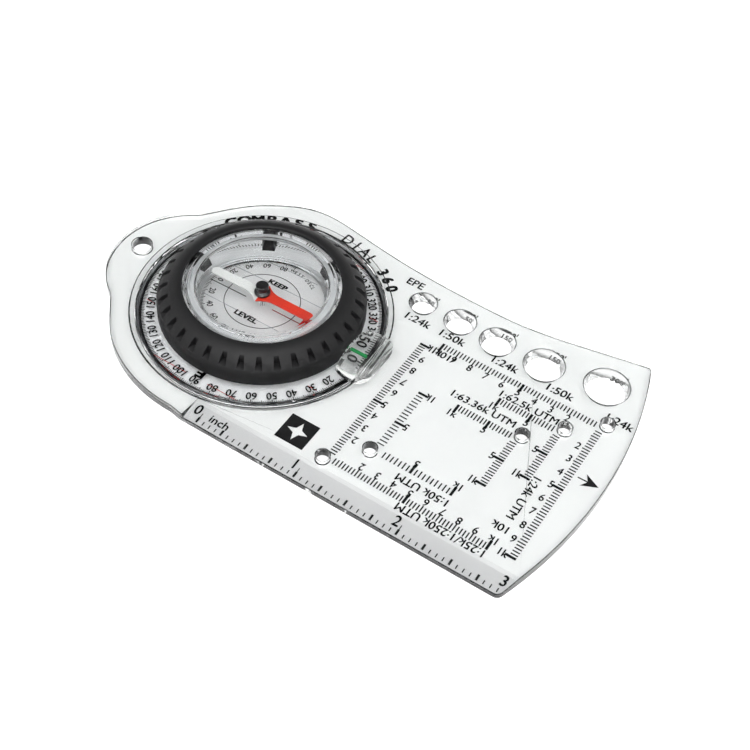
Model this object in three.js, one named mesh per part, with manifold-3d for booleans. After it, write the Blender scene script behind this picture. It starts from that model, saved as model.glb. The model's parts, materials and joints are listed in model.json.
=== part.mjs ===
// A baseplate compass, modelled in millimetres with +Z up.
//
// A clear acrylic plate with a bevelled ruler edge carries a turning dial. The dial is a clear
// graduated ring with a rubber grip. A liquid-filled capsule sits in the dial and turns in it
// against six friction pads, to set the declination. The needle swings on a pin in the capsule.
// Shapes are drawn about the dial's axis, with +Y the direction of travel, and the last group
// moves the whole compass so that its origin is under the middle of its own box.

import * as THREE from "three";
import { mergeVertices } from "three/addons/utils/BufferGeometryUtils.js";
import Module from "manifold-3d";

const wasm = await Module();
wasm.setup();

// ---- driving dimensions ---------------------------------------------------------------------

const PLATE = {
  thickness: 2.5,
  edge: 1.4, // height of the wall left under a bevel
  right: 35.65, // ruler edge
  left: -36.75, // front left corner
  waist: -31.05, // where the left side is narrowest
  flank: -35.5, // widest part of the left side, beside the dial
  round: 35.1, // rear right side, an arc about the dial
  lobe: 19.6, // rear lobe's radius
  lobeY: -20.7,
  frontY: -17.2, // centre and radius of the front edge's arc
  front: 106,
};
const RULE = { top: 30.1, start: 4.2 }; // ruler bevel: its upper line and its rear end
const LEFT_BEVEL = 2.5;
const DIAL_HOLE = { radius: 28.75, rim: 30.5, rimHeight: 0.2 };
const LANYARD_HOLE = { x: 0, y: -35, radius: 2.4 };
const PLOT_TAPER = 0.8; // a plotting hole is this much wider at the top
const PLOT_HOLES = [
  { x: -22.9, y: 29.6, radius: 2.5 },
  { x: -22.9, y: 39.6, radius: 3.0 },
  { x: -22.6, y: 49.7, radius: 3.4 },
  { x: -22.6, y: 61.8, radius: 4.0 },
  { x: -25.2, y: 76.4, radius: 4.5 },
];
const CORNER_HOLE = 1.6; // radius of a pencil hole at the corner of a map scale
const CORNER_HOLES = [[-15.9, 81.3], [-9.4, 74.1], [-2.4, 67.2], [19.8, 42.2], [27.2, 35.0]];

const RING = { outer: 28.35, bottom: 0.4, top: 2.5, bore: 18.5, collar: 19.6, collarTop: 8.6 };
const LEDGE = { bore: 17.6, top: 1.0 }; // what the capsule stands on
const GROOVE = { depth: 0.4, low: 1.0, high: 1.9 }; // the snap ring's groove, in ring and plate
const WIRE = { radius: 28.55, thick: 0.3, turn: 350 };

const GRIP = { inner: 19.9, outer: 24, bottom: 2.8, top: 10.6, lip: 18.05 };
const NOTCH = { count: 36, first: 3.5, inner: 21.3, innerHalf: 0.5, outer: 24.5, outerHalf: 1.0, floor: 7.3 };
const PAD = { count: 6, inner: 16.9, outer: 18.2, low: 5.6, high: 8.5, wide: 3.2, narrow: 2.2 };

const VIAL = { outer: 16.6, inner: 15.3, foot: 18.2, bottom: 1.3, floor: 3.6, top: 8.8 };
const BOSS = { radius: 2.4, top: 4.6, bore: 0.5, boreFloor: 1.9 };
const SEAL = { inner: 15.5, outer: 16.4, low: 8.9, high: 9.3 };
const COVER = { rim: 18.2, under: 9.4, inside: 9.7, edge: 9.6, flat: 16.5, top: 10.8 };

const PIN = { radius: 0.35, bottom: 2.0, shoulder: 6.6, tip: 7.15 };
const JEWEL = { radius: 0.6, bottom: 6.95, top: 7.5, cup: 0.35, cupTop: 7.3 };
const BLADE = { low: 6.1, high: 6.5, half: 1.3, flare: 3.1, north: 14.1, south: -14.6, hole: 1.4 };
const HUB = { sleeve: 1.2, bottom: 5.6, flange: 1.9, flangeLow: 6.7, flangeHigh: 7.25, waist: 1.3 };
const HUB_HEAD = { radius: 1.5, low: 8.2, top: 8.9, bore: 0.75, boreTop: 7.6, pocket: 1.15 };
const MAGNET = { radius: 1.0, low: 7.9, high: 8.8 };
const CAP = { radius: 1.5, low: 9.0, high: 9.35 };

const LENS = { halfX: 7.8, halfY: 7.6, rise: 4.2, y: 28.2, foot: 2.9, back: 24.5, front: 32.2 };
const LENS_UNDERCUT = { height: 3.3, front: 29.3 }; // the clear way for the turning ring
const INDEX = { half: 0.3, back: 24.7, front: 28.4, low: 2.85, high: 3.1 };

const ROUND = 80; // segments round a large circle
const VIAL_ROUND = 64; // and round the capsule
const DEG = Math.PI / 180;

// ---- materials ------------------------------------------------------------------------------

function material(color, roughness, metalness, opacity = 1) {
  return new THREE.MeshStandardMaterial({
    color, roughness, metalness, opacity, transparent: opacity < 1,
  });
}
const ACRYLIC = material(0xf1f7f6, 0.05, 0, 0.35);
const RING_CLEAR = material(0xdfe9ec, 0.15, 0, 0.6);
const RUBBER = material(0x2a2a2b, 0.75, 0);
const BLACK = material(0x151517, 0.4, 0);
const GREEN = material(0x12a84a, 0.4, 0);
const PAINT = material(0xd63720, 0.35, 0);
const STEEL = material(0xb8babd, 0.25, 1);
const MAGNET_METAL = material(0x75777a, 0.35, 1);
const RUBY = material(0xa8324a, 0.1, 0, 0.8);

// ---- solids ---------------------------------------------------------------------------------

/** A closed geometry as a solid that can be cut and joined. */
function solid(geometry) {
  const bare = geometry.index ? geometry.clone() : geometry;
  for (const name of Object.keys(bare.attributes)) {
    if (name !== "position") bare.deleteAttribute(name);
  }
  const merged = mergeVertices(bare, 1e-4);
  const corners = [];
  const index = merged.index.array;
  for (let i = 0; i < index.length; i += 3) {
    const [a, b, c] = [index[i], index[i + 1], index[i + 2]];
    if (a !== b && b !== c && c !== a) corners.push(a, b, c);
  }
  return new wasm.Manifold(new wasm.Mesh({
    numProp: 3,
    vertProperties: new Float32Array(merged.attributes.position.array),
    triVerts: new Uint32Array(corners),
  }));
}

/** A named mesh of a solid. */
function piece(name, body, look) {
  const { vertProperties, triVerts } = body.getMesh();
  const geometry = new THREE.BufferGeometry();
  geometry.setAttribute("position", new THREE.BufferAttribute(vertProperties, 3));
  geometry.setIndex(new THREE.BufferAttribute(triVerts, 1));
  geometry.computeVertexNormals();
  const mesh = new THREE.Mesh(geometry, look);
  mesh.name = name;
  return mesh;
}

/** A profile of [radius, height] points turned about the Z axis. It closes on itself or on the axis. */
function turned(profile, segments = ROUND) {
  const points = profile.map(([r, z]) => new THREE.Vector2(r, z));
  const onAxis = profile[0][0] === 0 && profile.at(-1)[0] === 0;
  if (!onAxis) points.push(points[0].clone());
  if (THREE.ShapeUtils.area(points) < 0) points.reverse();
  return solid(new THREE.LatheGeometry(points, segments).rotateX(Math.PI / 2));
}

/** A flat shape given a thickness, from height low to height high. */
function slab(shape, low, high, curveSegments = 12) {
  const settings = { depth: high - low, bevelEnabled: false, curveSegments };
  return solid(new THREE.ExtrudeGeometry(shape, settings).translate(0, 0, low));
}

/** A box between two corners. */
function block([x0, y0, z0], [x1, y1, z1]) {
  const box = new THREE.BoxGeometry(x1 - x0, y1 - y0, z1 - z0);
  return solid(box.translate((x0 + x1) / 2, (y0 + y1) / 2, (z0 + z1) / 2));
}

/** An upright round hole, from low to high, which may be wider at the top. */
function drill(x, y, radius, low, high, topRadius = radius, segments = 40) {
  const tool = new THREE.CylinderGeometry(topRadius, radius, high - low, segments);
  return solid(tool.rotateX(Math.PI / 2).translate(x, y, (low + high) / 2));
}

// ---- baseplate ------------------------------------------------------------------------------

/** The left side, from beside the dial to the front corner, as three curves. */
function leftSide() {
  const { flank, waist, left, round } = PLATE;
  const rear = [round * Math.cos(216 * DEG), round * Math.sin(216 * DEG)];
  const curve = (...p) => new THREE.CubicBezierCurve(...p.map(([x, y]) => new THREE.Vector2(x, y)));
  return [
    curve([left, 81.5], [left + 2, 70], [waist, 58], [waist, 46]),
    curve([waist, 46], [waist, 14], [flank + 0.4, 6], [flank, -4]),
    curve([flank, -4], [flank, -10], [rear[0] - 2.9, rear[1] + 4], rear),
  ];
}

/** The plate's outline as seen from above, run anticlockwise from the rear lobe. */
function plateOutline() {
  const { round, right, left, lobe, lobeY, frontY, front } = PLATE;
  const turnRight = -36 * DEG;
  const lobeEnd = -33 * DEG;
  const lobePoint = [lobe * Math.cos(lobeEnd), lobeY + lobe * Math.sin(lobeEnd)];
  const flankPoint = [round * Math.cos(turnRight), round * Math.sin(turnRight)];
  const onFront = (x) => frontY + Math.sqrt(front ** 2 - x ** 2);
  const frontAngle = (x) => Math.atan2(onFront(x) - frontY, x);
  const shape = new THREE.Shape();
  shape.absarc(0, lobeY, lobe, -Math.PI / 2, lobeEnd, false);
  shape.bezierCurveTo(lobePoint[0] + 1, lobePoint[1] + 1.5, flankPoint[0] - 3.5, flankPoint[1] - 4.9,
    ...flankPoint);
  shape.absarc(0, 0, round, turnRight, 0, false);
  shape.bezierCurveTo(round, 1.5, right, 2.5, right, RULE.start);
  shape.lineTo(right, onFront(right) - 1.2);
  shape.quadraticCurveTo(right, onFront(right), right - 1.3, onFront(right - 1.3));
  shape.absarc(0, frontY, front, frontAngle(right - 1.3), frontAngle(left + 1.6), false);
  shape.quadraticCurveTo(left - 0.4, onFront(left), left, 81.5);
  for (const part of leftSide()) {
    shape.bezierCurveTo(part.v1.x, part.v1.y, part.v2.x, part.v2.y, part.v3.x, part.v3.y);
  }
  shape.bezierCurveTo(-flankPoint[0] + 3.5, flankPoint[1] - 4.9, -lobePoint[0] - 1, lobePoint[1] + 1.5,
    -lobePoint[0], lobePoint[1]);
  shape.absarc(0, lobeY, lobe, Math.PI - lobeEnd, 1.5 * Math.PI, false);
  return shape;
}

/** What the ruler's bevel takes off the right edge. */
function ruleBevel() {
  const { thickness, edge, right } = PLATE;
  const slope = (thickness - edge) / (right - RULE.top);
  const out = 2;
  const section = new THREE.Shape([
    new THREE.Vector2(RULE.top, thickness),
    new THREE.Vector2(right + out, edge - out * slope),
    new THREE.Vector2(right + out, thickness + out),
    new THREE.Vector2(RULE.top, thickness + out),
  ]);
  const length = 90;
  const prism = new THREE.ExtrudeGeometry(section, { depth: length, bevelEnabled: false });
  return solid(prism.rotateX(Math.PI / 2).translate(0, RULE.start + length, 0));
}

/** What the bevel takes off the left side: a wedge swept along it, which runs out beside the dial. */
function leftBevel() {
  const { thickness, edge, left } = PLATE;
  const slope = (thickness - edge) / LEFT_BEVEL;
  const out = 2;
  // In the sweep, x points down and y points away from the plate.
  const section = new THREE.Shape([
    new THREE.Vector2(-thickness, -LEFT_BEVEL),
    new THREE.Vector2(-thickness - out, -LEFT_BEVEL),
    new THREE.Vector2(-thickness - out, out),
    new THREE.Vector2(-edge + out * slope, out),
  ]);
  const [front, middle, rear] = leftSide();
  const fade = (share) => LEFT_BEVEL * 1.2 * share;
  const route = [new THREE.Vector3(left - 1.2, 90, 0)];
  for (let i = 0; i <= 6; i++) route.push(new THREE.Vector3(...front.getPoint(i / 6), 0));
  for (let i = 1; i <= 8; i++) route.push(new THREE.Vector3(...middle.getPoint(i / 8), 0));
  for (let i = 1; i <= 5; i++) {
    const point = rear.getPoint(i / 5);
    const away = point.clone().normalize().multiplyScalar(fade(i / 5));
    route.push(new THREE.Vector3(point.x + away.x, point.y + away.y, 0));
  }
  const extrudePath = new THREE.CatmullRomCurve3(route.reverse());
  return solid(new THREE.ExtrudeGeometry(section, { steps: 44, bevelEnabled: false, extrudePath }));
}

function makeBaseplate() {
  const { thickness } = PLATE;
  const { radius, rim, rimHeight } = DIAL_HOLE;
  const over = thickness + 1;
  let plate = slab(plateOutline(), 0, thickness, 12);
  plate = plate.subtract(ruleBevel()).subtract(leftBevel());
  plate = plate.add(drill(0, 0, rim, thickness - 1, thickness + rimHeight, rim - 0.2, ROUND));
  plate = plate.subtract(drill(0, 0, radius, -1, over, radius, ROUND));
  const { low, high, depth } = GROOVE;
  plate = plate.subtract(turned([[radius - 1, low], [radius + depth, low], [radius + depth, high],
    [radius - 1, high]]));
  plate = plate.subtract(drill(LANYARD_HOLE.x, LANYARD_HOLE.y, LANYARD_HOLE.radius, -1, over));
  for (const hole of PLOT_HOLES) {
    const taper = PLOT_TAPER / thickness;
    plate = plate.subtract(drill(hole.x, hole.y, hole.radius - taper, -1, over, hole.radius + taper * over));
  }
  for (const [x, y] of CORNER_HOLES) {
    plate = plate.subtract(drill(x, y, CORNER_HOLE, -1, over, CORNER_HOLE, 24));
  }
  return piece("baseplate", plate, ACRYLIC);
}

/** The split wire in the groove, which keeps the dial in the plate and drags on it. */
function makeSnapRing() {
  const wire = new THREE.Shape().absarc(0, 0, WIRE.thick, 0, 2 * Math.PI, false);
  const height = (GROOVE.low + GROOVE.high) / 2;
  class Hoop extends THREE.Curve {
    getPoint(share) {
      const angle = (share * WIRE.turn - 90) * DEG;
      return new THREE.Vector3(Math.cos(angle), Math.sin(angle), 0).multiplyScalar(WIRE.radius)
        .setZ(height);
    }
  }
  const settings = { steps: 60, curveSegments: 3, bevelEnabled: false, extrudePath: new Hoop() };
  return piece("snap_ring", solid(new THREE.ExtrudeGeometry(wire, settings)), STEEL);
}

/** The magnifier over the ring: a dome with cut sides, hollow underneath where the ring turns. */
function makeReadoutLens() {
  const { halfX, halfY, rise, y, foot, back, front } = LENS;
  const dome = new THREE.SphereGeometry(1, 44, 28).scale(halfX, halfY, rise).translate(0, y, foot);
  const plan = new THREE.Shape();
  plan.moveTo(-halfX, back).lineTo(halfX, back).lineTo(halfX, front - 3);
  plan.quadraticCurveTo(halfX - 1.2, front, halfX - 4, front).lineTo(-halfX + 4, front);
  plan.quadraticCurveTo(-halfX + 1.2, front, -halfX, front - 3);
  const under = block([-halfX - 1, back - 1, foot - 1], [halfX + 1, LENS_UNDERCUT.front, LENS_UNDERCUT.height]);
  const body = solid(dome).intersect(slab(plan, foot, foot + rise + 1)).subtract(under);
  return piece("readout_lens", body, ACRYLIC);
}

function makeIndexLine() {
  const { half, back, front, low, high } = INDEX;
  return piece("index_line", block([-half, back, low], [half, front, high]), GREEN);
}

// ---- dial -----------------------------------------------------------------------------------

/** The graduated ring: a flat flange with an upright collar that the grip is pressed on. */
function makeAzimuthRing() {
  const { outer, bottom, top, bore, collar, collarTop } = RING;
  const { depth, low, high } = GROOVE;
  return piece("azimuth_ring", turned([
    [LEDGE.bore, bottom], [outer, bottom], [outer, low], [outer - depth, low],
    [outer - depth, high], [outer, high], [outer, top], [collar, top],
    [collar, collarTop], [bore, collarTop], [bore, LEDGE.top], [LEDGE.bore, LEDGE.top],
  ]), RING_CLEAR);
}

/** A tapered block that cuts one finger notch, from the grip's shoulder down to a small ledge. */
function notchTool(angle) {
  const { inner, innerHalf, outer, outerHalf, floor } = NOTCH;
  const plan = new THREE.Shape([
    new THREE.Vector2(inner, -innerHalf), new THREE.Vector2(outer, -outerHalf),
    new THREE.Vector2(outer, outerHalf), new THREE.Vector2(inner, innerHalf),
  ]);
  const slug = new THREE.ExtrudeGeometry(plan, { depth: GRIP.top + 1 - floor, bevelEnabled: false });
  return solid(slug.translate(0, 0, floor).rotateZ(angle));
}

function makeGripRing() {
  const { inner, outer, bottom, top, lip } = GRIP;
  let grip = turned([
    [inner, bottom], [outer - 0.4, bottom], [outer, bottom + 0.4], [outer, 6.0],
    [outer - 0.35, 7.2], [22.5, 8.7], [20.8, 10.0], [19.4, top],
    [lip + 0.25, top], [lip, 10.35], [lip, 10.2], [RING.bore, 9.7],
    [RING.bore, RING.collarTop + 0.3], [inner, RING.collarTop + 0.3],
  ], NOTCH.count * 2);
  for (let i = 0; i < NOTCH.count; i++) {
    grip = grip.subtract(notchTool((NOTCH.first + i * 360 / NOTCH.count) * DEG));
  }
  return piece("grip_ring", grip, RUBBER);
}

/** One rubber pad between the dial's bore and the capsule's wall, wider at its foot. */
function makePad(number) {
  const { inner, outer, low, high, wide, narrow, count } = PAD;
  const face = new THREE.Shape([
    new THREE.Vector2(-wide / 2, low), new THREE.Vector2(wide / 2, low),
    new THREE.Vector2(narrow / 2, high), new THREE.Vector2(-narrow / 2, high),
  ]);
  const slug = new THREE.ExtrudeGeometry(face, { depth: outer - inner, bevelEnabled: false });
  slug.rotateX(Math.PI / 2).translate(0, outer, 0).rotateZ(-number * 360 / count * DEG);
  return piece(`friction_pad_${number + 1}`, solid(slug), BLACK);
}

// ---- capsule --------------------------------------------------------------------------------

/** The clear cup: a thick floor with the pivot's boss, and an upright wall. */
function makeCapsuleBase() {
  const { outer, inner, foot, bottom, floor, top } = VIAL;
  return piece("capsule_base", turned([
    [0, bottom], [foot - 0.3, bottom], [foot, bottom + 0.3], [foot, floor - 0.2],
    [foot - 0.3, floor + 0.1], [outer, floor + 0.1], [outer, top], [inner, top], [inner, floor],
    [BOSS.radius, floor], [BOSS.radius - 0.4, BOSS.top], [BOSS.bore, BOSS.top],
    [BOSS.bore, BOSS.boreFloor], [0, BOSS.boreFloor],
  ], VIAL_ROUND), ACRYLIC);
}

function makeCapsuleSeal() {
  const { inner, outer, low, high } = SEAL;
  return piece("capsule_seal", turned([[inner, low], [outer, low], [outer, high], [inner, high]], VIAL_ROUND),
    material(0xe4e8e8, 0.5, 0, 0.5));
}

function makeCapsuleCover() {
  const { rim, under, inside, edge, flat, top } = COVER;
  return piece("capsule_cover", turned([
    [0, inside], [VIAL.inner - 0.3, inside], [VIAL.inner, under], [rim, under],
    [rim, edge], [flat, top], [0, top],
  ], VIAL_ROUND), ACRYLIC);
}

function makePivotPin() {
  const { radius, bottom, shoulder, tip } = PIN;
  return piece("pivot_pin", turned([[0, bottom], [radius, bottom], [radius, shoulder], [0, tip]], 20),
    STEEL);
}

// ---- needle ---------------------------------------------------------------------------------

/** Half of the needle's outline, from its tip to the flared middle. */
function bladeOutline() {
  const { half, flare, north, south } = BLADE;
  const shape = new THREE.Shape();
  shape.moveTo(flare - 0.3, -0.3).quadraticCurveTo(flare, 0, flare - 0.3, 0.3);
  shape.quadraticCurveTo(half + 0.1, 1.9, half, 3.9).lineTo(half, north - half);
  shape.absarc(0, north - half, half, 0, Math.PI, false);
  shape.lineTo(-half, 3.9).quadraticCurveTo(-half - 0.1, 1.9, -flare + 0.3, 0.3);
  shape.quadraticCurveTo(-flare, 0, -flare + 0.3, -0.3);
  shape.quadraticCurveTo(-half - 0.1, -1.9, -half, -3.9).lineTo(-half, south + half);
  shape.absarc(0, south + half, half, Math.PI, 2 * Math.PI, false);
  shape.lineTo(half, -3.9).quadraticCurveTo(half + 0.1, -1.9, flare - 0.3, -0.3);
  return shape;
}

function makeNeedleBlade() {
  const { low, high, hole } = BLADE;
  const blade = slab(bladeOutline(), low, high, 6).subtract(drill(0, 0, hole, low - 1, high + 1));
  return piece("needle_blade", blade, PAINT);
}

/** The black spool on the blade: its sleeve passes the blade, and its head holds the magnet. */
function makeNeedleHub() {
  const { sleeve, bottom, flange, flangeLow, flangeHigh, waist } = HUB;
  const { radius, low, top, bore, boreTop, pocket } = HUB_HEAD;
  const middle = (flangeHigh + low) / 2;
  const pocketFloor = MAGNET.low - 0.1;
  const hub = turned([
    [0, boreTop], [bore, boreTop], [bore, bottom], [sleeve, bottom], [sleeve, flangeLow],
    [flange, flangeLow], [flange, flangeHigh], [waist, middle], [radius, low], [radius, top],
    [pocket, top], [pocket, pocketFloor], [0, pocketFloor],
  ], 28);
  return piece("needle_hub", hub, BLACK);
}

function makeMagnet() {
  const { radius, low, high } = MAGNET;
  return piece("needle_magnet", drill(0, 0, radius, low, high, radius, 28), MAGNET_METAL);
}

function makeHubCap() {
  const { radius, low, high } = CAP;
  const edge = 0.15;
  return piece("hub_cap", turned([
    [0, low], [radius, low], [radius, high - edge], [radius - edge, high], [0, high],
  ], 28), BLACK);
}

function makeJewel() {
  const { radius, bottom, top, cup, cupTop } = JEWEL;
  return piece("jewel_bearing", turned([
    [0, cupTop], [cup, bottom], [radius, bottom], [radius, top], [0, top],
  ], 24), RUBY);
}

// ---- the compass ----------------------------------------------------------------------------

const pieces = new THREE.Group();
pieces.add(makeBaseplate(), makeSnapRing(), makeReadoutLens(), makeIndexLine());
pieces.add(makeAzimuthRing(), makeGripRing());
for (let number = 0; number < PAD.count; number++) pieces.add(makePad(number));
pieces.add(makeCapsuleBase(), makeCapsuleSeal(), makeCapsuleCover(), makePivotPin());
pieces.add(makeNeedleBlade(), makeNeedleHub(), makeMagnet(), makeHubCap(), makeJewel());

const plateBox = new THREE.Box3().setFromObject(pieces);
const middle = plateBox.getCenter(new THREE.Vector3());
pieces.position.set(-middle.x, -middle.y, 0);

const compass = new THREE.Group();
compass.add(pieces);
export default compass;
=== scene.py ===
# %% [markdown]
# # A baseplate compass
# A baseplate compass is a clear acrylic ruler with a turning dial let into it. In the dial sits a
# clear capsule with a red and white needle. The solid parts come from the CAD model; this lesson
# adds their finishes, everything that is printed on them, and the light they are seen in.
# All of it is measured from the dial's own axis, because most of the scales are circles about it.

# %% Load the frame
import json
import math

import bmesh
import bpy
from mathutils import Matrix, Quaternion, Vector


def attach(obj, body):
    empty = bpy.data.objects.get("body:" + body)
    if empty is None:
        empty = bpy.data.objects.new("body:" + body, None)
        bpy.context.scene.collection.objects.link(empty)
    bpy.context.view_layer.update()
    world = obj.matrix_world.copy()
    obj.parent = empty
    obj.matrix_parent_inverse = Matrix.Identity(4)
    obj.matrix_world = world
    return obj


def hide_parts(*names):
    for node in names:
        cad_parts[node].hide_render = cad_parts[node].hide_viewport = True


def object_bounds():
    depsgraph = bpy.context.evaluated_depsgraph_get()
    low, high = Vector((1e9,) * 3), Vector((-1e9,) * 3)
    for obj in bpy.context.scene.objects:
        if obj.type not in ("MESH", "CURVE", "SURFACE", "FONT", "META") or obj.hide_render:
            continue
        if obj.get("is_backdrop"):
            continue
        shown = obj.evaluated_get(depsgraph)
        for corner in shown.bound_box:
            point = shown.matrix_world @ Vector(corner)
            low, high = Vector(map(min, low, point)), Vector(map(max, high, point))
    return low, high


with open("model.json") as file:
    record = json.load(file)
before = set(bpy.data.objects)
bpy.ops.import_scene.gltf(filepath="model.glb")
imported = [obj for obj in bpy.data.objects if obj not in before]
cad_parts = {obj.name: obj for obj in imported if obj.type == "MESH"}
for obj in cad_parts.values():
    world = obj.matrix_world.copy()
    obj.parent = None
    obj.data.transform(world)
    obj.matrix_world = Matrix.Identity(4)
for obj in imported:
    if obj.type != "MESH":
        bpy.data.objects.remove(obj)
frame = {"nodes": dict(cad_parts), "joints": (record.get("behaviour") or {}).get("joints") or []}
bpy.context.view_layer.update()
cad_box = [list(corner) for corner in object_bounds()]
MM = 0.001
joints = {joint["name"]: joint for joint in frame["joints"]}
axis = Vector(joints["dial_turn"]["pos_m"])
print("nodes:", len(frame["nodes"]), " dial axis (mm):", round(axis.x / MM, 3), round(axis.y / MM, 3))


def place(x, y, z):
    """A point in metres, from millimetres right, ahead and above the dial's centre on the table."""
    return Vector((axis.x + x * MM, axis.y + y * MM, z * MM))


# %% [markdown]
# ## Camera
# The compass is seen from its front right corner and from above, with the far end of the plate to the
# upper left. The camera is told where it stands, what it looks at, how far it leans over and how
# long its lens is. That is easier to change by hand than three angles.

# %% Camera
CAMERA_SPOT = Vector((0.18128, 0.10424, 0.24125))
CAMERA_AIM = Vector((0.00092, 0.00694, 0.0))
CAMERA_LEAN = math.radians(5.42)
CAMERA_LENS = 67.66

camera_data = bpy.data.cameras.new("camera")
camera_data.lens = CAMERA_LENS
camera_data.clip_start, camera_data.clip_end = 0.01, 20
camera = bpy.data.objects.new("camera", camera_data)
camera.location = CAMERA_SPOT
camera.rotation_mode = "QUATERNION"
level = (CAMERA_AIM - CAMERA_SPOT).to_track_quat("-Z", "Y")
camera.rotation_quaternion = level @ Quaternion((0, 0, 1), CAMERA_LEAN)
bpy.context.scene.collection.objects.link(camera)
bpy.context.scene.camera = camera
bpy.context.scene.view_settings.view_transform = "Standard"
print("camera distance (mm):", round((CAMERA_AIM - CAMERA_SPOT).length / MM, 1))

# %% [markdown]
# ## Writing shaders as sums
# A material is a web of nodes, and most of those nodes only do arithmetic. Here one small class stands
# for the socket that a number comes out of. Adding or multiplying two of them adds the Math node, so a
# pattern reads like the sum that it is. Every other node comes from one method, `node`.


# %% Sockets that can be added and multiplied
class Wire:
    """The output socket of a node, which can be used in a sum."""

    def __init__(self, bench, socket):
        self.bench, self.socket = bench, socket

    def sum_with(self, operation, *values):
        inputs = dict(enumerate(values))
        return self.bench.node("ShaderNodeMath", {"operation": operation}, inputs)

    def __add__(self, other):
        return self.sum_with("ADD", self, other)

    def __sub__(self, other):
        return self.sum_with("SUBTRACT", self, other)

    def __rsub__(self, other):
        return self.sum_with("SUBTRACT", other, self)

    def __mul__(self, other):
        return self.sum_with("MULTIPLY", self, other)

    def __gt__(self, other):
        return self.sum_with("GREATER_THAN", self, other)

    __radd__, __rmul__ = __add__, __mul__


class Bench:
    """A node tree under construction."""

    def __init__(self, tree):
        self.tree = tree
        tree.nodes.clear()

    def node(self, kind, settings=None, inputs=None, output=0):
        """A new node, its settings made first and its sockets filled, as the wire from one output."""
        made = self.tree.nodes.new(kind)
        for name, value in (settings or {}).items():
            if name == "stops":
                self.set_stops(made.color_ramp, value)
            else:
                setattr(made, name, value)
        for socket, value in (inputs or {}).items():
            self.fill(made.inputs[socket], value)
        return Wire(self, made.outputs[output])

    def fill(self, socket, value):
        if isinstance(value, Wire):
            self.tree.links.new(value.socket, socket)
        else:
            socket.default_value = value

    def set_stops(self, ramp, stops):
        while len(ramp.elements) < len(stops):
            ramp.elements.new(1)
        for element, (position, colour) in zip(ramp.elements, stops):
            element.position, element.color = position, colour

    def finish_with(self, kind, wire):
        """The output node of the tree, fed by one wire."""
        self.fill(self.tree.nodes.new(kind).inputs[0], wire)

    def blend(self, share, first, second):
        """One colour where share is 0, the other where it is 1."""
        settings = {"data_type": "RGBA"}
        return self.node("ShaderNodeMix", settings, {0: share, 6: first, 7: second}, output=2)

    def grain(self, size_mm, detail=3):
        """Noise from 0 to 1 whose specks are about size_mm across, fixed to the piece itself."""
        inputs = {"Vector": self.spot(), "Scale": 1 / (size_mm * MM), "Detail": detail}
        return self.node("ShaderNodeTexNoise", None, inputs)

    def spot(self):
        """The place on the piece, in metres."""
        return self.node("ShaderNodeTexCoord", None, None, output="Object")

    def relief(self, height, depth_mm):
        """A normal that makes the surface look as if height stood depth_mm out of it."""
        inputs = {"Strength": 1.0, "Distance": depth_mm * MM, "Height": height}
        return self.node("ShaderNodeBump", None, inputs)


def linear(red, green, blue):
    """A colour as it is picked on a screen, from 0 to 255, as the light it stands for."""
    parts = [part / 255 for part in (red, green, blue)]
    return tuple(p / 12.92 if p < 0.04045 else ((p + 0.055) / 1.055) ** 2.4 for p in parts) + (1.0,)


def finish(name, fixed, varying):
    """A material. fixed holds plain socket values; varying makes those that change over the surface."""
    material = bpy.data.materials.new(name)
    material.use_nodes = True
    bench = Bench(material.node_tree)
    sockets = {**fixed, **varying(bench)}
    shader = bench.node("ShaderNodeBsdfPrincipled", None, sockets)
    bench.finish_with("ShaderNodeOutputMaterial", shader)
    print("finish", name, "with", len(bench.tree.nodes), "nodes")
    return material


# %% [markdown]
# ## Clear acrylic
# The plate, the dial ring, the capsule and the lens are all moulded clear plastic. It is nearly
# colourless, bends light as much as glass does, and it is never quite flat: the mould leaves a faint
# waviness. Handling leaves a faint haze. So the transmission is a plain constant, and only the roughness
# and the normal carry a pattern, with the colour where a mask asks for it.

# %% Clear plastics
ACRYLIC_INDEX = 1.49


def moulded(haze, wave_mm, tint):
    """The faint haze and waviness of moulded clear plastic. tint may be a colour or make a pattern."""

    def varying(bench):
        worn = bench.grain(9) * bench.grain(0.4)
        return {
            "Base Color": tint(bench) if callable(tint) else tint,
            "Roughness": worn * (2 * haze) + haze * 0.3,
            "Normal": bench.relief(bench.grain(14, detail=1), wave_mm),
        }

    return varying


# %% [markdown]
# ## Where on the part
# Some finishes belong to one region of a solid, such as a wall that reflects. A mask picks it out from
# the place on the piece and the way its surface faces, so no mesh has to be cut up. Each mask is 1
# where the finish applies and 0 elsewhere, and two masks are joined by multiplying them.

# %% Masks
STEEP = 0.3  # a wall stands up if the square of its normal's height is less


def part_of(bench, source, letter):
    """One coordinate of a place or a normal."""
    return bench.node("ShaderNodeSeparateXYZ", None, {0: source}, output=letter)


def beyond(bench, distance_mm, y_mm=0.0):
    """1 farther than a distance from the dial's axis, or from a point y_mm along the plate from it."""
    spot = bench.spot()
    across = part_of(bench, spot, "X") - axis.x
    ahead = part_of(bench, spot, "Y") - (axis.y + y_mm * MM)
    return across * across + ahead * ahead > (distance_mm * MM) ** 2


def upright(bench):
    """1 on the walls that stand up."""
    normal = bench.node("ShaderNodeNewGeometry", output="Normal")
    tilt = part_of(bench, normal, "Z")
    return 1 - (tilt * tilt > STEEP)


def silvered_wall(near_mm, far_mm):
    """A mask for the upright walls between two distances from the dial's axis."""

    def mask(bench):
        return beyond(bench, near_mm) * (1 - beyond(bench, far_mm)) * upright(bench)

    return mask
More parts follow.
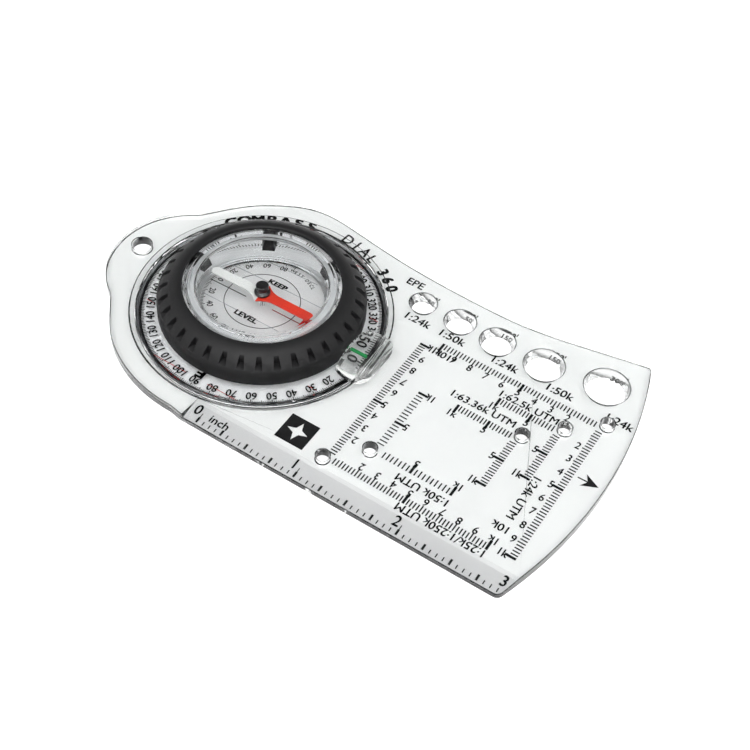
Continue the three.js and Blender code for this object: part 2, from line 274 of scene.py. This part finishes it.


# %% [markdown]
# ## A clear material
# One function makes every clear plastic. The capsule is full of liquid, which bends light nearly as much
# as its plastic does, so the cup's own faces almost vanish. The liquid isn't modelled. Instead the cup
# is given a low index: the step between the two is about 1.05, and 1.1 leaves a faint outline. The real
# wall mirrors the floor, because there is air behind it, and that is made with a silvered bore in the
# dial ring, which also leaves the pads visible in front of it.

# %% Clear plastic
def clear(name, tint, haze, wave_mm=0.004, mirror=1.0, index=ACRYLIC_INDEX, silvered=None):
    """mirror is how much of the usual reflection shows: less where liquid wets the other side.
    silvered is a mask for the walls that reflect everything, as a wall with air behind it does."""
    fixed = {"Transmission Weight": 1.0, "IOR": index, "Specular Tint": (mirror, mirror, mirror, 1)}

    def varying(bench):
        sockets = moulded(haze, wave_mm, tint)(bench)
        if silvered:
            sockets["Metallic"] = silvered(bench)
        return sockets

    return finish(name, fixed, varying)


# %% [markdown]
# ## The plate's tint
# The polished plate is nearly colourless. The bevel under the inch rule is ground, so it is greyer.
# Where the wall round the rear of the plate turns into the flat faces, refraction shows thin dark lines.
# Here those lines are painted shade: the colour is nearly black in thin bands there.

# %% Plate tint
BEVEL_X, BEVEL_Y = 30.1, 4.2  # the ground bevel lies right of and ahead of this
# The painted dark bands are kept this far from the dial's hole and from the lanyard hole.
RIM_RADIUS, LANYARD_Y, LANYARD_ROOM = 29.6, -35, 3.2  # keep the dark bands off the two holes
# Heights, in millimetres, of the painted dark bands that stand in for refraction.
EDGE_LOW, EDGE_HIGH, EDGE_BEVEL = 0.3, 2.2, (1.1, 1.45)  # heights of the bands


def outline(bench):
    """1 in thin bands along the plate's rear wall, where painted shade stands in for the dark lines of
    refraction.
    """
    height, ahead = (part_of(bench, bench.spot(), letter) for letter in "ZY")
    low, high = 1 - (height > EDGE_LOW * MM), height > EDGE_HIGH * MM
    middle = (height > EDGE_BEVEL[0] * MM) * (1 - (height > EDGE_BEVEL[1] * MM))
    rear = 1 - (ahead > axis.y + BEVEL_Y * MM)
    clear_of_holes = beyond(bench, RIM_RADIUS) * beyond(bench, LANYARD_ROOM, LANYARD_Y)
    return (low + high + middle) * rear * clear_of_holes * upright(bench)


def plate_tint(bench):
    spot = bench.spot()
    across, ahead = (part_of(bench, spot, letter) for letter in "XY")
    on_bevel = (across > axis.x + BEVEL_X * MM) * (ahead > axis.y + BEVEL_Y * MM)
    speck = bench.grain(0.5)
    ground = bench.blend(speck, (0.78, 0.785, 0.79, 1), (0.82, 0.825, 0.825, 1))
    polished = bench.blend(on_bevel, (0.955, 0.967, 0.963, 1), ground)
    # Painted shade: nearly black in thin bands along the rear wall, in place of the dark lines that
    # refraction draws there.
    return bench.blend(outline(bench), polished, (0.001, 0.0011, 0.0012, 1))


# %% The clear finishes
plate_acrylic = clear("plate_acrylic", plate_tint, 0.012)
dial_bore = silvered_wall(18.3, 19.2)
dial_acrylic = clear("dial_acrylic", (0.97, 0.98, 0.985, 1), 0.012, mirror=0.7, silvered=dial_bore)
cover_acrylic = clear("cover_acrylic", (0.99, 0.995, 0.995, 1), 0.006, 0.002, mirror=0.3)
cup_acrylic = clear("cup_acrylic", (0.995, 0.998, 1.0, 1), 0.006, 0.002, mirror=0.3, index=1.1)
# A near-black clear finish for the plate's chamfer: a painted dark outline standing in for the
# refraction that darkens a clear plate's edges.
painted_dark_edge = clear("painted_dark_edge", (0.004, 0.0045, 0.005, 1), 0.1)
lens_acrylic = clear("lens_acrylic", (0.98, 0.995, 0.985, 1), 0.006, 0.002)

# %% [markdown]
# ## Rubber
# The grip is a charcoal elastomer with a fine matt grain, greyer where the light rakes over its
# shoulder and a little polished where fingers turn it. Fine noise in the bump gives the grain, and
# coarse noise in the colour and roughness gives the handling. The seal is translucent silicone, so it
# doesn't darken the clear rim above it.


# %% Rubbers
def rubbery(dark, light, grain_mm, depth_mm, matt):
    def varying(bench):
        worn = bench.grain(3.5)
        fine = bench.grain(grain_mm, detail=4)
        return {
            "Base Color": bench.blend(worn * 0.6 + fine * 0.4, dark, light),
            "Roughness": worn * -0.18 + matt,
            "Normal": bench.relief(fine, depth_mm),
        }

    return varying


grip_rubber = finish(
    "grip_rubber",
    {"Specular IOR Level": 0.22},
    rubbery(linear(6, 6, 7), linear(23, 23, 24), 0.16, 0.05, 0.6),
)
pad_rubber = finish(
    "pad_rubber", {}, rubbery(linear(14, 14, 15), linear(30, 30, 32), 0.2, 0.01, 0.6)
)
seal_rubber = finish(
    "seal_rubber",
    {"Transmission Weight": 0.6, "IOR": 1.41},
    rubbery(linear(226, 229, 231), linear(243, 245, 246), 0.2, 0.004, 0.3),
)

# %% [markdown]
# ## The needle
# One strip of steel carries two paints, red for the half that points north and off-white for the other.
# They meet at the pivot. A painted edge is never exact, so noise moves the border a few hundredths of a
# millimetre, and the paint has a slight orange peel.


# %% Needle paints and small metal parts
def two_paints(bench):
    ahead = bench.node("ShaderNodeSeparateXYZ", None, {0: bench.spot()}, output="Y")
    ragged = bench.grain(0.3) * (0.08 * MM)
    north = ahead + ragged > axis.y + 0.04 * MM
    speckle = bench.grain(0.5)
    red = bench.blend(speckle, linear(206, 40, 22), linear(226, 62, 38))
    pale = bench.blend(speckle, linear(214, 216, 214), linear(236, 238, 236))
    return {
        "Base Color": bench.blend(north, pale, red),
        "Roughness": speckle * 0.15 + 0.25,
        "Normal": bench.relief(bench.grain(0.35), 0.006),
    }


needle_paint = finish("needle_paint", {"Coat Weight": 0.3, "Coat Roughness": 0.15}, two_paints)


def plain_metal(dark, light, roughness):
    def varying(bench):
        streak = bench.grain(0.6, detail=5)
        return {
            "Base Color": bench.blend(streak, dark, light),
            "Roughness": streak * 0.2 + roughness,
            "Normal": bench.relief(bench.grain(0.15), 0.003),
        }

    return varying


def mottled(dark, light, roughness, speck_mm=0.5):
    """A plain coloured plastic or ink with slight unevenness."""

    def varying(bench):
        speck = bench.grain(speck_mm)
        return {
            "Base Color": bench.blend(speck, dark, light),
            "Roughness": speck * 0.12 + roughness,
            "Normal": bench.relief(speck, 0.003),
        }

    return varying


METAL = {"Metallic": 1.0}
steel = finish("spring_steel", METAL, plain_metal(linear(150, 152, 155), linear(196, 198, 200), 0.22))
magnet = finish("magnet", METAL, plain_metal(linear(90, 92, 96), linear(130, 132, 136), 0.3))
hub_plastic = finish("hub_plastic", {}, mottled(linear(14, 14, 15), linear(30, 30, 32), 0.25))
index_green = finish("index_green", {}, mottled(linear(0, 120, 58), linear(20, 150, 76), 0.4))
jewel = finish(
    "jewel",
    {"Transmission Weight": 0.7, "IOR": 1.76},
    mottled((0.75, 0.03, 0.08, 1), (0.9, 0.1, 0.16, 1), 0.08),
)

# %% [markdown]
# ## Inks
# The scales are pad printed. Ink is matt, never a perfect black, and a little thinner in places.

# %% Inks
MATT = {"Specular IOR Level": 0.2}
black_ink = finish("black_ink", MATT, mottled(linear(8, 8, 9), linear(26, 26, 28), 0.6, 0.7))
red_ink = finish("red_ink", MATT, mottled(linear(196, 32, 30), linear(222, 54, 44), 0.55, 0.7))
dark_red_ink = finish("dark_red_ink", MATT, mottled(linear(120, 20, 26), linear(150, 32, 38), 0.6, 0.7))
grey_ink = finish("grey_ink", MATT, mottled(linear(150, 152, 156), linear(176, 178, 182), 0.6, 0.7))

# %% [markdown]
# ## Smooth curves and crisp corners
# The CAD solids are made of flat facets, with every corner split. Rather than touch their meshes, each
# gets modifiers: one welds the corners, one cuts a tiny chamfer along hard edges, as any moulding
# has, and a geometry node group smooths every edge that turns only a little. Curved walls
# then look round while flat faces stay flat, which matters for anything seen through clear plastic.
# The plate's chamfer has a near-black finish of its own: a painted dark outline, standing in for the
# refraction that draws the thin outline of a clear plate.


# %% Modifiers for the CAD solids
def smoothing_group(limit_degrees):
    """A node group that smooths every edge which turns less than the limit."""
    group = bpy.data.node_groups.new("smooth_gentle_edges", "GeometryNodeTree")
    group.interface.new_socket("Geometry", in_out="INPUT", socket_type="NodeSocketGeometry")
    group.interface.new_socket("Geometry", in_out="OUTPUT", socket_type="NodeSocketGeometry")
    bench = Bench(group)
    shape = bench.node("NodeGroupInput")
    inputs = {"Geometry": shape, "Name": "custom_normal"}
    shape = bench.node("GeometryNodeRemoveAttribute", None, inputs)
    inputs = {"Geometry": shape, "Shade Smooth": True}
    shape = bench.node("GeometryNodeSetShadeSmooth", {"domain": "FACE"}, inputs)
    turn = bench.node("GeometryNodeInputMeshEdgeAngle", None, None, output="Unsigned Angle")
    inputs = {0: turn, 1: math.radians(limit_degrees)}
    gentle = bench.node("FunctionNodeCompare", {"operation": "LESS_THAN"}, inputs)
    inputs = {"Geometry": shape, "Shade Smooth": gentle}
    shape = bench.node("GeometryNodeSetShadeSmooth", {"domain": "EDGE"}, inputs)
    bench.finish_with("NodeGroupOutput", shape)
    return group


GENTLE, SHARP, COPLANAR = 32, 38, 0.5  # degrees: smoothed, chamfered, taken as one flat face
gentle_edges = smoothing_group(GENTLE)


def dress(node, material, chamfer_mm=0.0, edge=None):
    """Gives a CAD solid its finish and smooth shading, and a small chamfer, whose own finish is edge."""
    solid = frame["nodes"][node]
    solid.data.materials.clear()
    solid.data.materials.append(material)
    weld = solid.modifiers.new("weld", "WELD")
    weld.merge_threshold = 0.002 * MM
    if edge:  # joins the triangles of each flat face, so that the chamfer meets no thin ones
        solid.data.materials.append(edge)
        flat = solid.modifiers.new("join_flat_faces", "DECIMATE")
        flat.decimate_type, flat.angle_limit = "DISSOLVE", math.radians(COPLANAR)
    if chamfer_mm:
        bevel = solid.modifiers.new("chamfer", "BEVEL")
        bevel.width, bevel.segments = chamfer_mm * MM, 1
        bevel.limit_method, bevel.angle_limit = "ANGLE", math.radians(SHARP)
        bevel.material = 1 if edge else -1
        bevel.use_clamp_overlap = not edge  # short sides round a hole would shrink it to nothing
    solid.modifiers.new("smooth", "NODES").node_group = gentle_edges


FINISHES = {
    # The plate's chamfer gets the near-black clear finish, a painted dark outline.
    "baseplate": (plate_acrylic, 0.16, painted_dark_edge),
    "snap_ring": (steel, 0.0),
    "readout_lens": (lens_acrylic, 0.0),
    "index_line": (index_green, 0.0),
    "azimuth_ring": (dial_acrylic, 0.0),
    "grip_ring": (grip_rubber, 0.12),
    "capsule_base": (cup_acrylic, 0.0),
    "capsule_seal": (seal_rubber, 0.0),
    "capsule_cover": (cover_acrylic, 0.1),
    "pivot_pin": (steel, 0.0),
    "needle_blade": (needle_paint, 0.04),
    "needle_hub": (hub_plastic, 0.0),
    "needle_magnet": (magnet, 0.0),
    "hub_cap": (hub_plastic, 0.0),
    "jewel_bearing": (jewel, 0.0),
    **{f"friction_pad_{i}": (pad_rubber, 0.15) for i in range(1, 7)},
}
for node, choice in FINISHES.items():
    dress(node, *choice)
print("dressed", len(FINISHES), "CAD solids")

# %% [markdown]
# ## Printing
# Every scale is a thin layer of ink, drawn flat in millimetres and then given a few hundredths of
# thickness. A `Stencil` collects bars, rings, shapes and letters, and `press` turns them into one
# closed mesh. Ink on the back of a clear plate sits just inside the plate's underside, so that the
# plate magnifies and shifts it as the real one does.

# %% Letters from Blender's own font
CAPITAL = 0.73  # how tall a capital is in the font's own units
THIN_SHIFTS = ((-0.025, -0.025), (0.025, 0.025))
BOLD_SHIFTS = ((-0.06, -0.05), (-0.06, 0.05), (0.06, 0.05), (0.06, -0.05))
letter_store = {}


def letters(text, bold):
    """A word as flat triangles, one capital high, centred on zero. Copies set apart give it weight."""
    key = (text, bold)
    if key not in letter_store:
        curve = bpy.data.curves.new("word", "FONT")
        curve.body, curve.resolution_u = text, 3
        holder = bpy.data.objects.new("word", curve)
        bpy.context.scene.collection.objects.link(holder)
        shape = holder.evaluated_get(bpy.context.evaluated_depsgraph_get()).to_mesh()
        points = [(v.co.x, v.co.y) for v in shape.vertices]
        faces = [tuple(p.vertices) for p in shape.polygons]
        bpy.data.objects.remove(holder)
        bpy.data.curves.remove(curve)
        middle = [(min(c) + max(c)) / 2 for c in zip(*points)]
        flat, copies = [], []
        for dx, dy in BOLD_SHIFTS if bold else THIN_SHIFTS:
            copies += [tuple(len(flat) + i for i in face) for face in faces]
            flat += [((x - middle[0]) / CAPITAL + dx, (y - middle[1]) / CAPITAL + dy) for x, y in points]
        letter_store[key] = (flat, copies)
    return letter_store[key]


print("a zero has", len(letters("0", False)[0]), "corners")


# %% A stencil
class Stencil:
    """Flat shapes in millimetres from the dial's centre, to be printed in one ink."""

    def __init__(self):
        self.points, self.faces = [], []

    def add(self, points, faces):
        start = len(self.points)
        self.points += points
        self.faces += [tuple(start + i for i in face) for face in faces]

    def shape(self, points):
        self.add(list(points), [tuple(range(len(points)))])

    def bar(self, x0, y0, x1, y1, wide):
        """A straight line of ink of that width."""
        along = Vector((x1 - x0, y1 - y0)).normalized() * (wide / 2)
        sx, sy = -along.y, along.x
        self.shape([(x0 - sx, y0 - sy), (x1 - sx, y1 - sy), (x1 + sx, y1 + sy), (x0 + sx, y0 + sy)])

    def ray(self, degrees, near, far, wide):
        """A line that points away from the dial's centre, clockwise from straight ahead."""
        s, c = math.sin(math.radians(degrees)), math.cos(math.radians(degrees))
        self.bar(s * near, c * near, s * far, c * far, wide)

    def ring(self, near, far, steps=180):
        turns = [math.tau * i / steps for i in range(steps)]
        inner = [(near * math.sin(t), near * math.cos(t)) for t in turns]
        outer = [(far * math.sin(t), far * math.cos(t)) for t in turns]
        quads = [(i, (i + 1) % steps, steps + (i + 1) % steps, steps + i) for i in range(steps)]
        self.add(inner + outer, quads)

    def words(self, text, x, y, tall, turn=0, bold=False, squeeze=0.92):
        """A word centred at x, y. turn is the direction that it reads in."""
        flat, faces = letters(text, bold)
        s, c = math.sin(math.radians(turn)), math.cos(math.radians(turn))
        sized = [(px * tall * squeeze, py * tall) for px, py in flat]
        self.add([(x + px * c - py * s, y + px * s + py * c) for px, py in sized], faces)

    def around(self, text, radius, middle, tall, step, bold=True, squeeze=0.92):
        """Letters set one by one on a circle, the middle of the word at an angle clockwise."""
        for i, letter in enumerate(text):
            degrees = middle + (i - (len(text) - 1) / 2) * step
            if letter != " ":
                s, c = math.sin(math.radians(degrees)), math.cos(math.radians(degrees))
                self.words(letter, s * radius, c * radius, tall, -degrees, bold, squeeze)

    def press(self, name, low, high, ink, body):
        """The stencil as one closed layer of ink from low to high, in millimetres, on a CAD body."""
        work = bmesh.new()
        corners = [work.verts.new(place(x, y, low)) for x, y in self.points]
        for face in self.faces:
            work.faces.new([corners[i] for i in face])
        bmesh.ops.remove_doubles(work, verts=work.verts, dist=0.001 * MM)
        for face in work.faces:
            face.normal_update()
        flipped = [face for face in work.faces if face.normal.z > 0]
        bmesh.ops.reverse_faces(work, faces=flipped)
        raised = bmesh.ops.extrude_face_region(work, geom=work.faces[:], use_keep_orig=True)["geom"]
        lift = Vector((0, 0, (high - low) * MM))
        top = [part for part in raised if isinstance(part, bmesh.types.BMVert)]
        bmesh.ops.translate(work, vec=lift, verts=top)
        bmesh.ops.recalc_face_normals(work, faces=work.faces)
        mesh = bpy.data.meshes.new(name)
        work.to_mesh(mesh)
        work.free()
        mesh.materials.append(ink)
        piece = bpy.data.objects.new(name, mesh)
        bpy.context.scene.collection.objects.link(piece)
        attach(piece, body)
        print(name, "has", len(mesh.polygons), "faces")
        return piece


# %% [markdown]
# ## Map scales on the plate
# A romer is an L of fine ticks whose legs are one kilometre long at the map's scale. There are
# five, each with a small hole at its corner for a pencil. They are drawn by one function, which knows
# the corner, the leg's length and which way the legs run.

# %% Romers
UNDERSIDE = (0.03, 0.07)  # the lowest and highest point of the ink
ROMER_NUMERAL, NUMERAL_OFF = 2.0, 2.9  # a numeral's height, and its distance from the line
CORNER_ROOM = 2.3  # nothing is printed nearer the corner hole than this
TICK_LONG, TICK_WHOLE, TICK_SHORT = 2.6, 1.9, 1.7
TICK_BOLD, TICK_FINE = 0.62, 0.31


def romer(ink, corner, leg, right, ahead, ticks, every, labels, turn):
    """Two scales that share a corner. right and ahead are +1 or -1, the way each leg runs."""
    cx, cy = corner
    for i in range(1, ticks + 1):
        run = leg * i / ticks
        if run < CORNER_ROOM:
            continue
        whole, strong = i % every == 0, i * 2 == ticks or i == ticks
        long = TICK_LONG if strong else TICK_WHOLE if whole else TICK_SHORT
        wide = TICK_BOLD if strong else TICK_FINE
        ink.bar(cx + right * run, cy, cx + right * run, cy + ahead * long, wide)
        ink.bar(cx, cy + ahead * run, cx + right * long, cy + ahead * run, wide)
        text = labels.get(i // every) if whole else None
        if text:
            ink.words(text, cx + right * run, cy + ahead * NUMERAL_OFF, ROMER_NUMERAL, turn)
            ink.words(text, cx + right * NUMERAL_OFF, cy + ahead * run, ROMER_NUMERAL, turn)


NUMBERED = {**{i: str(i) for i in range(2, 10)}, 10: "1k"}
HALVED = {5: "5", 10: "1k"}
scales = Stencil()
romer(scales, (-15.9, 81.3), 41.67, 1, -1, 50, 5, NUMBERED, 90)
romer(scales, (27.2, 35.0), 40.0, -1, 1, 50, 5, NUMBERED, -90)
romer(scales, (19.8, 42.2), 20.0, -1, 1, 20, 2, HALVED, -90)
romer(scales, (-9.4, 74.1), 16.0, 1, -1, 20, 2, HALVED, 90)
romer(scales, (-2.4, 67.2), 15.78, 1, -1, 20, 2, HALVED, 90)
for text, x, y, turn in (
    ("1:24k UTM", 11.4, 75.3, 0),
    ("1:25k/1:250k UTM", 28.4, 64.7, -90),
    ("1:50k UTM", 22.0, 56.5, -90),
    ("1:62.5k UTM", -10.7, 64.6, 90),
    ("1:63.36k UTM", -4.6, 56.4, 90),
    ("/10k", -12.8, 41.6, -90),
    ("10k", 20.6, 74.6, -90),
):
    scales.words(text, x, y, 2.0, turn, squeeze=1.05)
scales.press("romer_print", *UNDERSIDE, black_ink, "plate")

# %% [markdown]
# ## Inch rule, hole sizes and travel arrow
# The right edge is bevelled and carries an inch rule, so the ticks sit close to the paper. The row of
# holes on the left is for plotting circles of a known size. The arrow at the front shows
# the way to walk.

# %% Rule and labels
INCH = 25.4
RULE_X, RULE_ZERO, RULE_TICKS = 34.4, 7.0, 48  # sixteenths of an inch
rule = Stencil()
for i in range(RULE_TICKS):
    y = RULE_ZERO + i * INCH / 16
    quarter = i % 4 == 0
    rule.bar(RULE_X, y, RULE_X - (1.5 if quarter else 1.0), y, 0.52 if quarter else 0.27)
for inch in range(4):
    y = RULE_ZERO + inch * INCH
    if inch < 3:
        rule.bar(RULE_X, y, RULE_X - 2.6, y, 0.2)
    rule.words(str(inch), RULE_X - 3.0, y - 1.4, 2.7, 90)
rule.words("inch", RULE_X - 2.6, RULE_ZERO + 4.4, 2.0, 90, squeeze=1.1)
rule.shape([(0, 87.2), (-1.75, 83.5), (0, 84.6)])
rule.shape([(0, 87.2), (0, 84.6), (1.75, 83.5)])
rule.bar(0, 84.7, 0, 82.2, 0.3)
for text, y in (("1:24k", 31), ("1:50k", 40.3), ("1:24k", 54.2), ("1:50k", 68.3), ("1:24k", 83.2)):
    rule.words(text, -18.6, y, 2.2, 90, squeeze=1.05)
rule.words("EPE", -28.3, 24.4, 2.1, 90, squeeze=1.05)
SIZES = (
    ("50'", -26.4, 30.4), ("50'", -27.0, 40.4), ("150'", -27.2, 50.6), ("150'", -27.9, 62.8),
    ("300'", -30.3, 77.4),
)
for text, x, y in SIZES:
    rule.words(text, x, y, 1.9, 90)
rule.press("rule_print", *UNDERSIDE, black_ink, "plate")

# %% Words beside the dial and a plain mark
lettering = Stencil()
lettering.around("COMPASS", 30.4, 239, 2.5, 6.3, squeeze=1.3)
lettering.around("DIAL", 31.3, 284, 2.8, 5.2, bold=False, squeeze=1.0)
lettering.around("360", 31.3, 306, 2.8, 5.2)
square = [(1, 0), (1, 1), (0, 1), (-1, 1), (-1, 0), (-1, -1), (0, -1), (1, -1)]
star = [(0.72, 0), (0.2, 0.2), (0, 0.72), (-0.2, 0.2), (-0.72, 0), (-0.2, -0.2), (0, -0.72), (0.2, -0.2)]
MARK_X, MARK_Y, MARK_HALF = 24.3, 26.5, 3.6
spots = [(MARK_X + MARK_HALF * x, MARK_Y + MARK_HALF * y) for x, y in square + star]
lettering.add(spots, [(i, (i + 1) % 8, 8 + (i + 1) % 8, 8 + i) for i in range(8)])
lettering.press("plate_lettering", *UNDERSIDE, black_ink, "plate")

# %% [markdown]
# ## Dial
# The ring that turns is printed underneath with a degree scale: a tick for each degree, a number every
# ten, and bold letters for the four directions. Short red lines run north to south, to be lined up
# with the grid of a map.

# %% Degree scale
DIAL_INK = (0.43, 0.48)
dial = Stencil()
dial.ring(27.65, 28.3, 240)
for degree in range(360):
    near = 26.6 if degree % 10 == 0 else 26.8 if degree % 5 == 0 else 27.0
    dial.ray(degree, near, 27.75, 0.15 if degree % 5 else 0.2)
for degree in range(0, 360, 10):
    s, c = math.sin(math.radians(degree)), math.cos(math.radians(degree))
    dial.words(str(degree), s * 25.6, c * 25.6, 2.0, -degree)
dial.press("degree_print", *DIAL_INK, black_ink, "dial")

cardinals = Stencil()
for degree, letter in zip(range(0, 360, 90), "NESW"):
    s, c = math.sin(math.radians(degree)), math.cos(math.radians(degree))
    cardinals.words(letter, s * 23.4, c * 23.4, 2.4, -degree, bold=True, squeeze=1.3)
cardinals.press("cardinal_print", *DIAL_INK, black_ink, "dial")

# %% Red grid lines on the dial
grid_lines = Stencil()
for x, near, far in ((12.6, 21.2, 23.7), (25.0, 3.0, 11.8)):
    for side in (-1, 1):
        for end in (-1, 1):
            grid_lines.bar(side * x, end * near, side * x, end * far, 0.14)
grid_lines.press("dial_grid_print", *DIAL_INK, red_ink, "dial")

# %% [markdown]
# ## Capsule floor
# The floor of the capsule has its own print: an outlined path with a red arrowhead for the needle to be
# boxed in, faint grid lines, and a declination scale on both sides of south. It sits on top of the
# floor, under the needle.

# %% Floor print
FLOOR_INK = (3.62, 3.66)
floor_black = Stencil()
floor_black.ring(9.2, 9.4, 96)
for side in (-1, 1):
    floor_black.bar(side * 1.2, -4.0, side * 1.2, -14.9, 0.26)
for degree in range(-90, 91, 2):
    near = 13.9 if degree % 10 == 0 else 14.3
    floor_black.ray(180 + degree, near, 15.1, 0.18)
for degree in range(-80, 81, 20):
    s, c = math.sin(math.radians(180 + degree)), math.cos(math.radians(180 + degree))
    floor_black.words(str(abs(degree)), s * 12.7, c * 12.7, 1.6, -degree)
floor_black.around("EAST DECL", 13.2, 72, 1.0, 4.4, bold=False)
floor_black.around("WEST DECL", 13.2, 288, 1.0, 4.4, bold=False)
floor_black.words("KEEP", -6.7, 0, 1.5, 90, bold=True, squeeze=1.2)
floor_black.words("LEVEL", 6.7, 0, 1.5, 90, bold=True, squeeze=1.2)
floor_black.press("floor_print", *FLOOR_INK, black_ink, "capsule")

floor_red = Stencil()
floor_red.shape([(-2.9, 11.7), (2.9, 11.7), (0, 15.25)])
floor_red.press("north_arrow_print", *FLOOR_INK, red_ink, "capsule")

floor_lines = Stencil()
for side in (-1, 1):
    floor_lines.bar(side * 1.2, 3.7, side * 1.2, 11.7, 0.26)
floor_lines.press("orienting_lines_print", *FLOOR_INK, dark_red_ink, "capsule")

floor_grid = Stencil()
for x, end in ((6.2, 13.6), (12.5, 8.0)):
    for side in (-1, 1):
        floor_grid.bar(side * x, -end, side * x, end, 0.16)
floor_grid.press("floor_grid_print", *FLOOR_INK, grey_ink, "capsule")

# %% [markdown]
# ## Friction pads
# Six rubber pads in the dial press on the capsule's wall, so that it turns only when it is meant to.
# Since they touch it, they show through the clear wall as black marks. The solid in the CAD model
# is a plain block with room round it; this one has the rounded top and really touches.

# %% Pads
PAD_NEAR, PAD_FAR, PAD_FOOT = 16.57, 18.2, 5.6
PAD_EDGE = [(0.0, 8.5), (0.6, 8.5), (0.9, 8.35), (1.1, 8.0), (1.35, 6.9), (1.6, 5.7)]  # half outline


def pad(number):
    """One pad, bent to the wall's curve, 60 degrees on from the last."""
    columns = [(-u, z) for u, z in reversed(PAD_EDGE[1:])] + PAD_EDGE
    work = bmesh.new()
    rows = []
    for u, top in columns:
        turn = math.radians(60 * (number - 1)) + u / PAD_NEAR
        s, c = math.sin(turn), math.cos(turn)
        loop = ((PAD_NEAR, PAD_FOOT), (PAD_FAR, PAD_FOOT), (PAD_FAR, top), (PAD_NEAR, top))
        rows.append([work.verts.new(place(s * radius, c * radius, z)) for radius, z in loop])
    for first, second in zip(rows, rows[1:]):
        for i in range(4):
            work.faces.new((first[i], first[(i + 1) % 4], second[(i + 1) % 4], second[i]))
    work.faces.new(rows[0])
    work.faces.new(rows[-1])
    bmesh.ops.recalc_face_normals(work, faces=work.faces)
    mesh = bpy.data.meshes.new(f"pad_{number}")
    work.to_mesh(mesh)
    work.free()
    mesh.materials.append(pad_rubber)
    piece = bpy.data.objects.new(f"pad_{number}", mesh)
    bpy.context.scene.collection.objects.link(piece)
    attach(piece, "dial")
    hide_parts(f"friction_pad_{number}")
    return piece


print("pads:", [pad(number).name for number in range(1, 7)])

# %% [markdown]
# ## Table and light
# The compass lies on a white table in a bright studio. Clear plastic has no colour of its own: its edges
# are seen because they bend towards darker parts of the room. On the plate's chamfer and rear wall, thin
# dark lines are also painted in. So the room is bright, a little darker near the horizon, with a black
# card where the plate would mirror the room, and a soft box high up that shines down into the capsule.
# Two weak panels add a little direction.

# %% Table
TABLE_GAP, TABLE_HALF = 0.03, 0.7  # millimetres under the plate, and metres across
table_mesh = bpy.data.meshes.new("table")
square_corners = ((-1, -1), (1, -1), (1, 1), (-1, 1))
table_corners = [(x * TABLE_HALF, y * TABLE_HALF, -TABLE_GAP * MM) for x, y in square_corners]
table_mesh.from_pydata(table_corners, [], [(0, 1, 2, 3)])
table = bpy.data.objects.new("table", table_mesh)
bpy.context.scene.collection.objects.link(table)


def paper(bench):
    speck = bench.grain(30)
    white = bench.blend(speck, (0.93, 0.93, 0.93, 1), (0.945, 0.945, 0.945, 1))
    return {"Base Color": white, "Roughness": 0.8}


table_mesh.materials.append(finish("table_paper", {"Specular IOR Level": 0.1}, paper))
table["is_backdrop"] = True

# %% How far light is followed
BOUNCES = 24  # the capsule needs nine or so, down to the table and up again
paths = bpy.context.scene.cycles
paths.max_bounces = paths.transmission_bounces = BOUNCES

# %% Room and lamp
ROOM_BRIGHT, ROOM_LOW = 1.3, 0.06
CARD_DIRECTION, CARD_DARK = Vector((-0.571, -0.308, 0.763)), 0.1  # where flat faces mirror the room
BOX_DIRECTION, BOX_LIGHT = Vector((0.5, 0.28, 0.82)), 6.8
world = bpy.data.worlds.new("studio")
world.use_nodes = True
room = Bench(world.node_tree)
direction = room.node("ShaderNodeTexCoord", None, None, output="Generated")
height = room.node("ShaderNodeSeparateXYZ", None, {0: direction}, output="Z")


def toward(way):
    """1 in the direction way, and the cosine of the angle from it elsewhere."""
    settings = {"operation": "DOT_PRODUCT"}
    return room.node("ShaderNodeVectorMath", settings, {0: direction, 1: way}, output="Value")


def fade(value, start, end, low, high):
    """A smooth change from low to high as value goes from start to end."""
    inputs = {"Value": value, 1: start, 2: end, 3: low, 4: high}
    return room.node("ShaderNodeMapRange", {"interpolation_type": "SMOOTHSTEP"}, inputs)


even = fade(height, 0.05, 0.25, ROOM_LOW, ROOM_BRIGHT)
shade = even * fade(toward(CARD_DIRECTION), 0.84, 0.94, 1.0, CARD_DARK)
shade = shade + fade(toward(BOX_DIRECTION), 0.86, 0.93, 0.0, BOX_LIGHT)
background = room.node("ShaderNodeBackground", None, {"Strength": shade})
room.finish_with("ShaderNodeOutputWorld", background)
bpy.context.scene.world = world


def panel(name, spot, size, watts):
    """A square soft light that faces the compass."""
    lamp = bpy.data.lights.new(name, "AREA")
    lamp.size, lamp.energy = size, watts
    holder = bpy.data.objects.new(name, lamp)
    holder.location = Vector(spot)
    holder.rotation_mode = "QUATERNION"
    holder.rotation_quaternion = (-Vector(spot)).to_track_quat("-Z", "Y")
    bpy.context.scene.collection.objects.link(holder)
    print(name, size, "m,", watts, "W")


panel("soft_panel_front", (-0.1, 0.55, 0.4), 0.3, 0.6)
panel("soft_panel_rear", (0.42, -0.36, 0.4), 0.3, 0.6)

# %% [markdown]
# ## Finish
# The box of the CAD model and the box of everything shown are printed side by side, so that a piece that
# sticks out is noticed.

# %% Sizes of the CAD model and of the scene
bpy.context.view_layer.update()
shown_box = [list(corner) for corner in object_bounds()]
for label, box in (("cad", cad_box), ("shown", shown_box)):
    print(label, "size (mm):", [round((high - low) / MM, 3) for low, high in zip(*box)])
